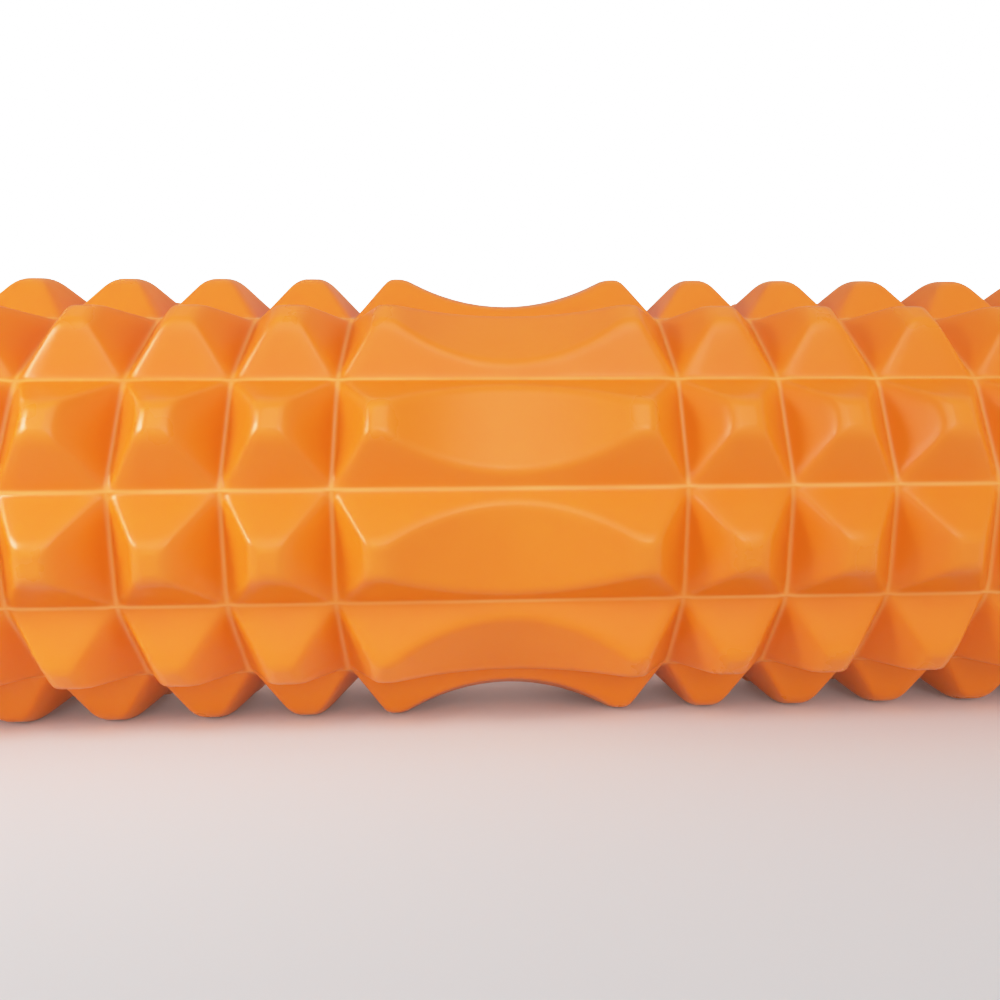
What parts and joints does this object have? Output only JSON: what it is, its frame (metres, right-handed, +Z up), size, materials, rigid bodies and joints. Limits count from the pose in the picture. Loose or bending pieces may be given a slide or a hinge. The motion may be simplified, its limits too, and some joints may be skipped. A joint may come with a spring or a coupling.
{
  "type": "foam roller",
  "caption": "Massage roller: a rigid hollow core in a soft foam sleeve with pyramid massage points and a scooped spine channel at mid-length.",
  "frame": {"origin": "on the roller's axis, half way along its length", "axes": "+X along the roller's axis towards the viewer's right, -Y to the front, +Z up with the roller lying on a floor on two rows of pyramids"},
  "size_m": [0.45, 0.1376, 0.1376],
  "materials": {
    "eva_foam": "satin moulded skin on closed-cell orange EVA foam",
    "core_plastic": "extruded black plastic with faint draw lines along it",
    "contact_adhesive": "cured, slightly yellow contact adhesive",
    "seam_adhesive": "cured glue line, darker than the foam"
  },
  "bodies": {
    "root": {"foam_sleeve": "eva_foam", "core_tube": "core_plastic", "adhesive_film": "contact_adhesive", "seam_glue": "seam_adhesive"}
  },
  "joints": []
}
